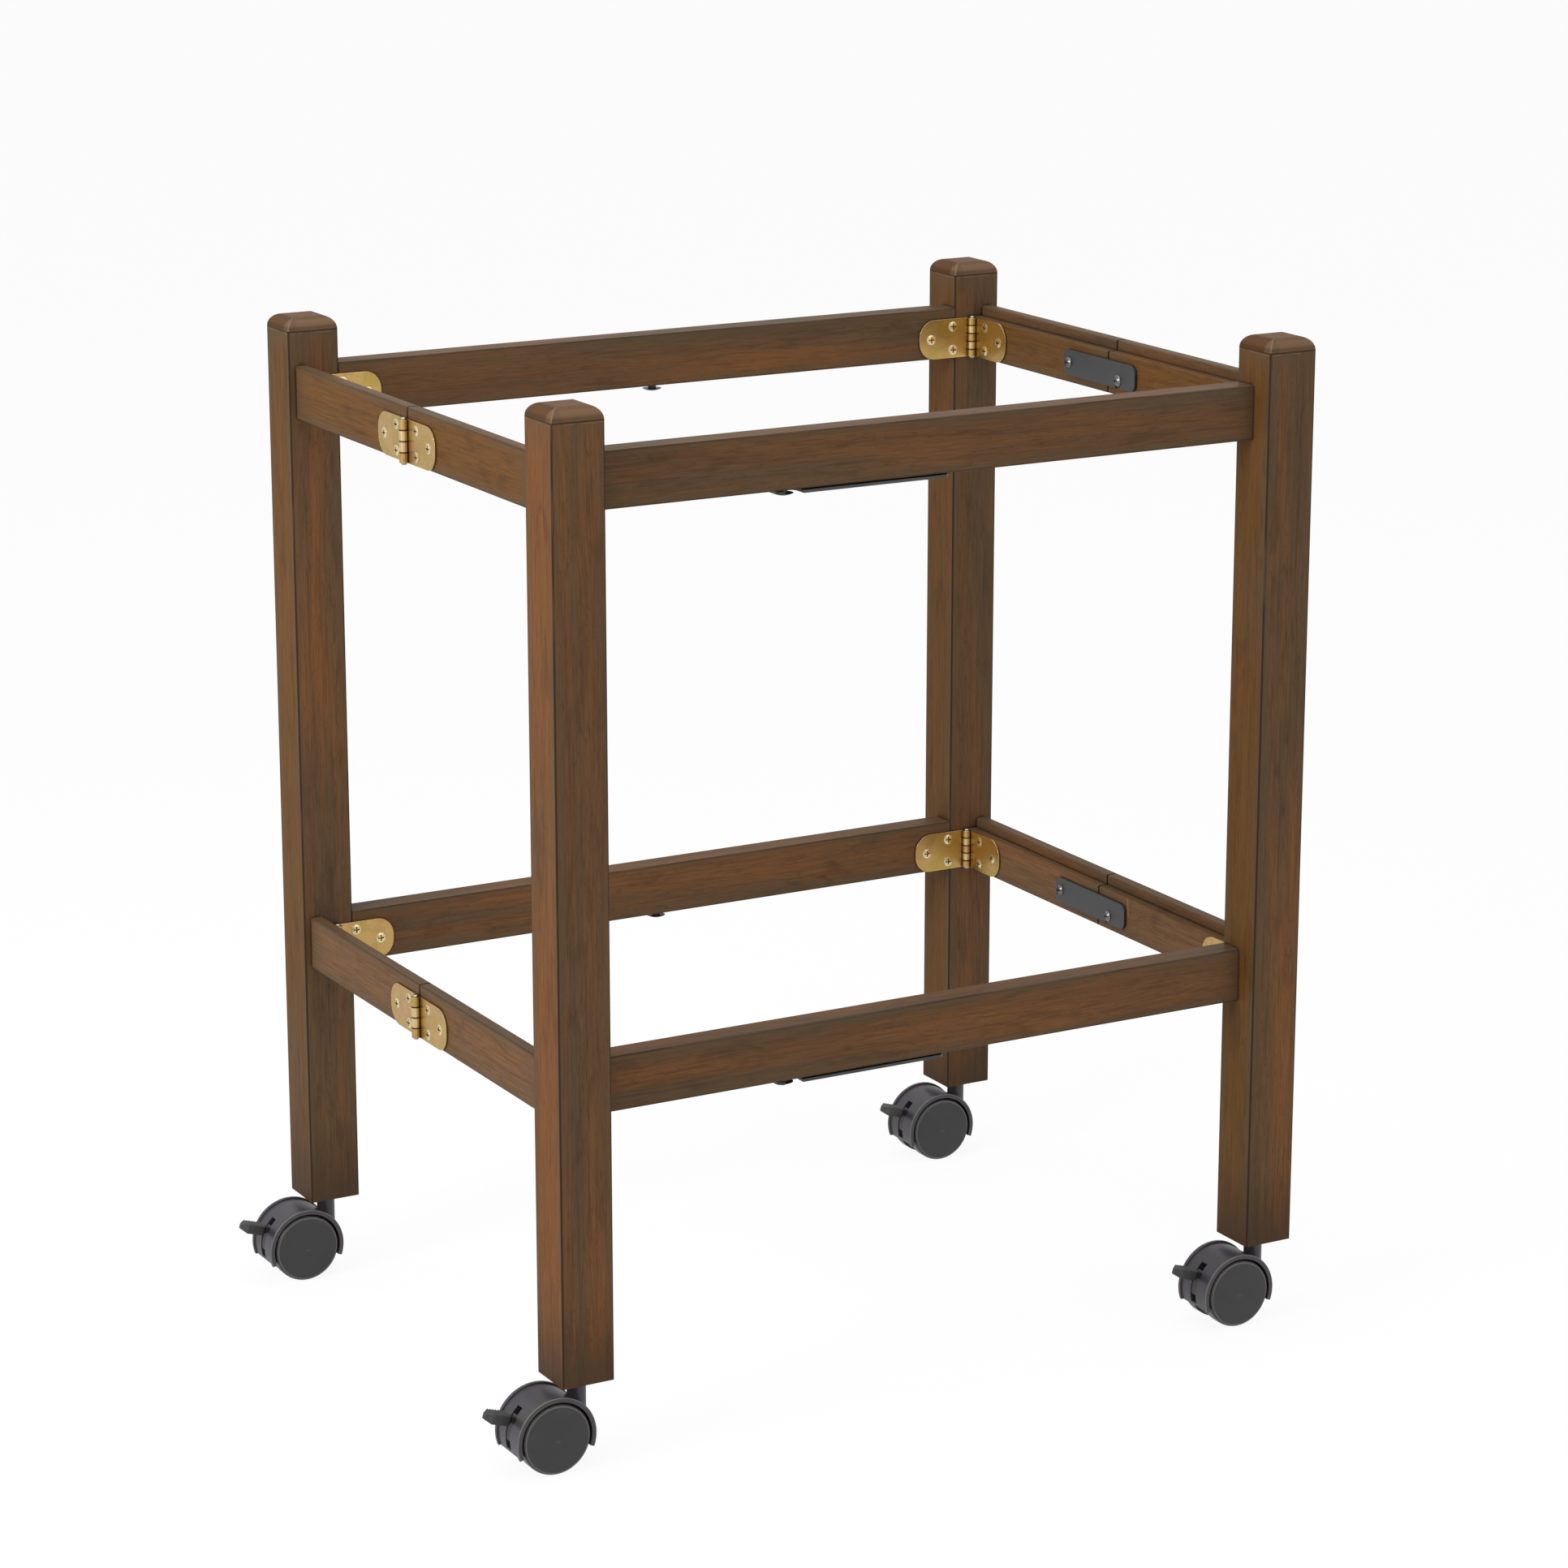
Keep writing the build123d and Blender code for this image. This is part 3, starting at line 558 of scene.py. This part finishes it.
def moulded_plastic(name, tones, roughness, stipple_scale, painted_highlight=None, wear=0.5):
    """tones are the two shades of the haze, the fifth argument adds a piece's painted highlight lines, and wear
    its pale edges, partly wear and partly painted highlight.
    """
    shader = Shader(name)
    place = shader.place()
    stipple = shader.noise(place, stipple_scale, detail=3.0, roughness=0.65)
    haze = shader.noise(place, scale=34.0, detail=3.0)
    base = shader.blend(haze.ramp(0.48, 0.70), *tones)
    if wear:
        # Pale edges: partly wear, partly a painted highlight where the edges catch the light
        base = shader.coats(base, (shader.edges(0.6 * MM), wear, NYLON_WEAR_AND_HIGHLIGHT))
    if painted_highlight:
        base = painted_highlight(shader, base)
    # Painted shade in the hollows and gaps of the nylon
    shader.set(Base_Color=shader.shade_in_corners(base, NYLON_CORNER_REACH, 0.8),
               Roughness=roughness + (haze - 0.5) * 0.12 + (stipple - 0.5) * 0.1, IOR=1.5)
    shader.bump(stipple, 0.28, 0.12 * MM, 0.5 * MM)
    return shader.material


def axle_middle(end, side):
    low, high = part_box(f"wheel_{end}_{side}_front")
    return (low + high) / 2


def from_axle(shader, axle):
    """Distance from the wheels' axle."""
    offsets = shader.parts(shader.place(axle))
    return hypotenuse(offsets[X], offsets[Z])


def wheel_highlight(end, side):
    """A painted highlight: a pale ring where the wheel's face meets its rounded tread, and the tread darker
    beyond it.
    """
    def painted_highlight(shader, base):
        radius = from_axle(shader, axle_middle(end, side))
        tread = radius.ramp(WHEEL_FACE_RADIUS, WHEEL_FACE_RADIUS + 0.6 * MM)
        ring = (radius - WHEEL_FACE_RADIUS).line(*WHEEL_RING_LINE)
        return shader.coats(base, (tread, 0.7, NYLON_DARK), (ring, 0.5, NYLON_HIGHLIGHT))
    return painted_highlight


def hood_highlight(end, side):
    """A painted highlight: a pale line along the outer arris of the bead round each wheel."""
    low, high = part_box(f"caster_hood_{end}_{side}")
    half_width = (high.y - low.y) / 2

    def painted_highlight(shader, base):
        radius = from_axle(shader, axle_middle(end, side))
        sideways = shader.parts(shader.place((low + high) / 2))[Y].absolute()
        bead = radius.ramp(HOOD_BEAD_RADIUS - 0.8 * MM, HOOD_BEAD_RADIUS - 0.2 * MM)
        outer_edge = sideways.ramp(half_width - 0.9 * MM, half_width - 0.3 * MM)
        return shader.coats(base, (bead * outer_edge, 0.7, NYLON_HIGHLIGHT))
    return painted_highlight


def dress(name, material):
    mesh = nodes[name].data
    mesh.materials.clear()
    mesh.materials.append(material)


# Finish every CAD node
def dress_wood():
    seed = 0
    for end in ENDS:
        for side in SIDES:
            seed += 1
            post = f"post_{end}_{side}"
            # Painted left-face light and shade: orange on the front left post, brown on the others
            left_face_paint = PAINTED_LEFT_ORANGE if post == "post_front_left" else PAINTED_LEFT_BROWN
            dress(post, stained_wood(post, Z, seed, left_face_paint))
        for level in LEVELS:
            seed += 1
            rail = f"long_rail_{level}_{end}"
            dress(rail, stained_wood(rail, X, seed, PAINTED_LEFT_BROWN))
    for level in LEVELS:
        # Painted left-face light and shade: brown on the upper side rails, tan on the lower ones
        left_face_paint = PAINTED_LEFT_BROWN if level == "upper" else PAINTED_LEFT_TAN
        for side in SIDES:
            for end in ENDS:
                seed += 1
                rail = f"side_rail_{level}_{side}_{end}"
                scratched = latch_scratch if end == "front" and level == "lower" else None
                dress(rail, stained_wood(rail, Y, seed, left_face_paint, scratched))


def dress_metal():
    # The leaves' edges get a painted highlight, the screws' edges a painted outline of shade
    zinc = plated_zinc("yellow_zinc", (ZINC_OLIVE, ZINC_GOLD, ZINC_COPPER), ZINC_BRIGHT_AND_HIGHLIGHT, pins=True)
    zinc_screw = plated_zinc("pale_zinc", (ZINC_PALE, ZINC_STRAW, ZINC_GOLD), PAINTED_SHADE_AND_GRIME)
    steel = bright_steel()
    plate = black_steel("black_plate", BLACK_PLATE, roughness=0.44, metallic=0.0, heads=pivot_heads)
    screw = black_steel("black_screw", NICKEL, NICKEL_ROUGHNESS, metallic=1.0)
    bar = black_steel("black_bar", BLACK_BAR, roughness=0.36, metallic=0.0)
    for end in ENDS:
        dress(f"corner_leaves_{end}", zinc)
        dress(f"corner_leaf_screws_{end}", zinc_screw)
        dress(f"caster_stems_{end}", steel)
    for side in SIDES:
        for end in ENDS:
            dress(f"rail_leaves_{side}_{end}", zinc)
            dress(f"rail_leaf_screws_{side}_{end}", zinc_screw)
            dress(f"caster_axle_{end}_{side}", steel)
        dress(f"latch_keepers_{side}", screw)
        for level in LEVELS:
            dress(f"latch_{level}_{side}", plate)
    for level in LEVELS:
        dress(f"fold_bar_{level}", bar)
    dress("fold_bar_screws", bar)
    dress("fold_bar_catches", bar)


# The brake lever's grip: a thick wedge with a toothed top, past a neck that leaves the hood
TAB_ROOT_ANGLE = math.radians(150)
TAB_ROOT_RADIUS = 26 * MM
TAB_TILT = math.radians(17)
TAB_NECK = 4 * MM
TAB_SHOULDER = 7 * MM
TAB_SWELL = 0.85
WELD_DISTANCE = 0.001 * MM


def from_shape(name, shape, material):
    """A new piece with the faces of a bmesh, which is freed."""
    mesh = bpy.data.meshes.new(name)
    shape.to_mesh(mesh)
    shape.free()
    mesh.materials.append(material)
    piece = bpy.data.objects.new(name, mesh)
    bpy.context.scene.collection.objects.link(piece)
    return piece


def swollen_lever(end, side, nylon):
    """The CAD lever with its grip swollen to the real one's thickness."""
    node = f"brake_lever_{end}_{side}"
    root_turn = Vector((math.cos(TAB_ROOT_ANGLE), 0, math.sin(TAB_ROOT_ANGLE)))
    root = axle_middle(end, side) + TAB_ROOT_RADIUS * root_turn
    outwards = Vector((-math.cos(TAB_TILT), 0, math.sin(TAB_TILT)))
    upwards = Vector((math.sin(TAB_TILT), 0, math.cos(TAB_TILT)))
    shape = bmesh.new()
    shape.from_mesh(nodes[node].data)
    bmesh.ops.remove_doubles(shape, verts=shape.verts, dist=WELD_DISTANCE)
    for vertex in shape.verts:
        from_root = vertex.co - root
        share = min(max((from_root.dot(outwards) - TAB_NECK) / (TAB_SHOULDER - TAB_NECK), 0), 1)
        vertex.co += upwards * from_root.dot(upwards) * TAB_SWELL * share
    bmesh.ops.recalc_face_normals(shape, faces=shape.faces)
    lever = from_shape(f"lever_{end}_{side}", shape, nylon)
    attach(lever, f"brake_{end}_{side}")
    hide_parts(node)


def dress_casters():
    lever_nylon = moulded_plastic("lever_nylon", (NYLON_GREY, NYLON_OLIVE), 0.50, 1300.0)
    for end in ENDS:
        for side in SIDES:
            hood = f"caster_hood_{end}_{side}"
            dress(hood, moulded_plastic(f"nylon_{hood}", (NYLON_VIOLET, NYLON_OLIVE), 0.42, 900.0,
                                        hood_highlight(end, side)))
            dress(f"brake_lever_{end}_{side}", lever_nylon)
            swollen_lever(end, side, lever_nylon)
            wheel_nylon = moulded_plastic(f"nylon_wheels_{end}_{side}", (NYLON_GREY, NYLON_DARK), 0.38, 1300.0,
                                          wheel_highlight(end, side), wear=0)
            for face in ENDS:
                dress(f"wheel_{end}_{side}_{face}", wheel_nylon)


# Studio: a white floor that keeps the shadow, soft lamps and the camera
WHITE = colour(1, 1, 1)
FLOOR_RADIUS = 24.0
FLOOR_GLOW_SHARE = 0.92
WORLD_LIGHT = 0.58
LAMP_AIM = Vector((0.0, 0.0, 0.4))

# Each lamp's place, its width in metres and its power in watts
LAMPS = {
    "key_left": (Vector((-2.2, -0.5, 1.3)), 0.95, 29.0),
    "top": (Vector((-0.3, -0.2, 2.8)), 2.0, 34.0),
    "front_fill": (Vector((1.4, -3.0, 1.2)), 2.2, 13.0),
}


def seen_directly(tree):
    """1 on the rays that show the background: to the camera, by reflection or through glass."""
    path = tree.nodes.new("ShaderNodeLightPath")
    seen = path.outputs["Is Camera Ray"]
    for name in ("Is Glossy Ray", "Is Transmission Ray"):
        either = tree.nodes.new("ShaderNodeMath")
        either.operation = "MAXIMUM"
        tree.links.new(seen, either.inputs[0])
        tree.links.new(path.outputs[name], either.inputs[1])
        seen = either.outputs[0]
    return seen


def studio_floor():
    shader = Shader("studio_floor")
    shader.set(Base_Color=colour(0.93, 0.93, 0.93), Roughness=0.9)
    glow = shader.node("ShaderNodeEmission", None, {"Color": WHITE, "Strength": 1.0})
    clear = shader.node("ShaderNodeBsdfTransparent")
    below = shader.node("ShaderNodeNewGeometry", output="Backfacing")
    lit = shader.node("ShaderNodeMixShader", None, {
        0: Socket(shader, seen_directly(shader.tree)) * FLOOR_GLOW_SHARE,
        1: Socket(shader, shader.surface.outputs[0]), 2: glow})
    whole = shader.node("ShaderNodeMixShader", None, {0: below, 1: lit, 2: clear})
    shader.feed(shader.tree.nodes["Material Output"].inputs["Surface"], whole)
    shape = bmesh.new()
    bmesh.ops.create_circle(shape, cap_ends=True, segments=64, radius=FLOOR_RADIUS)
    floor = from_shape("studio_floor", shape, shader.material)


def studio_world():
    world = bpy.data.worlds.new("studio")
    world.use_nodes = True
    bpy.context.scene.world = world
    tree = world.node_tree
    backdrop = tree.nodes["Background"]
    backdrop.inputs["Color"].default_value = WHITE
    level = tree.nodes.new("ShaderNodeMapRange")
    level.inputs["To Min"].default_value = WORLD_LIGHT
    level.inputs["To Max"].default_value = 1.0
    tree.links.new(seen_directly(tree), level.inputs["Value"])
    tree.links.new(level.outputs[0], backdrop.inputs["Strength"])


def studio_lamps():
    for name, (place, width, power) in LAMPS.items():
        lamp = bpy.data.lights.new(name, "AREA")
        lamp.shape = "SQUARE"
        lamp.size = width
        lamp.energy = power
        holder = bpy.data.objects.new(name, lamp)
        holder.location = place
        holder.rotation_euler = (LAMP_AIM - place).to_track_quat("-Z", "Y").to_euler()
        bpy.context.scene.collection.objects.link(holder)


def studio_camera():
    lens = bpy.data.cameras.new("photo_view")
    lens.sensor_width = SENSOR_WIDTH
    lens.lens = SENSOR_WIDTH * FOCAL_PIXELS / IMAGE_SIDE
    lens.clip_end = 200.0
    camera = bpy.data.objects.new("photo_view", lens)
    camera.location = posts_middle() + CAMERA_FROM_MIDDLE
    camera.rotation_euler = (math.pi / 2 - CAMERA_DOWN, 0.0, CAMERA_YAW)
    bpy.context.scene.collection.objects.link(camera)
    bpy.context.scene.camera = camera


dress_wood()
dress_metal()
dress_casters()
studio_floor()
studio_world()
studio_lamps()
studio_camera()
bpy.context.scene.view_settings.view_transform = "Standard"
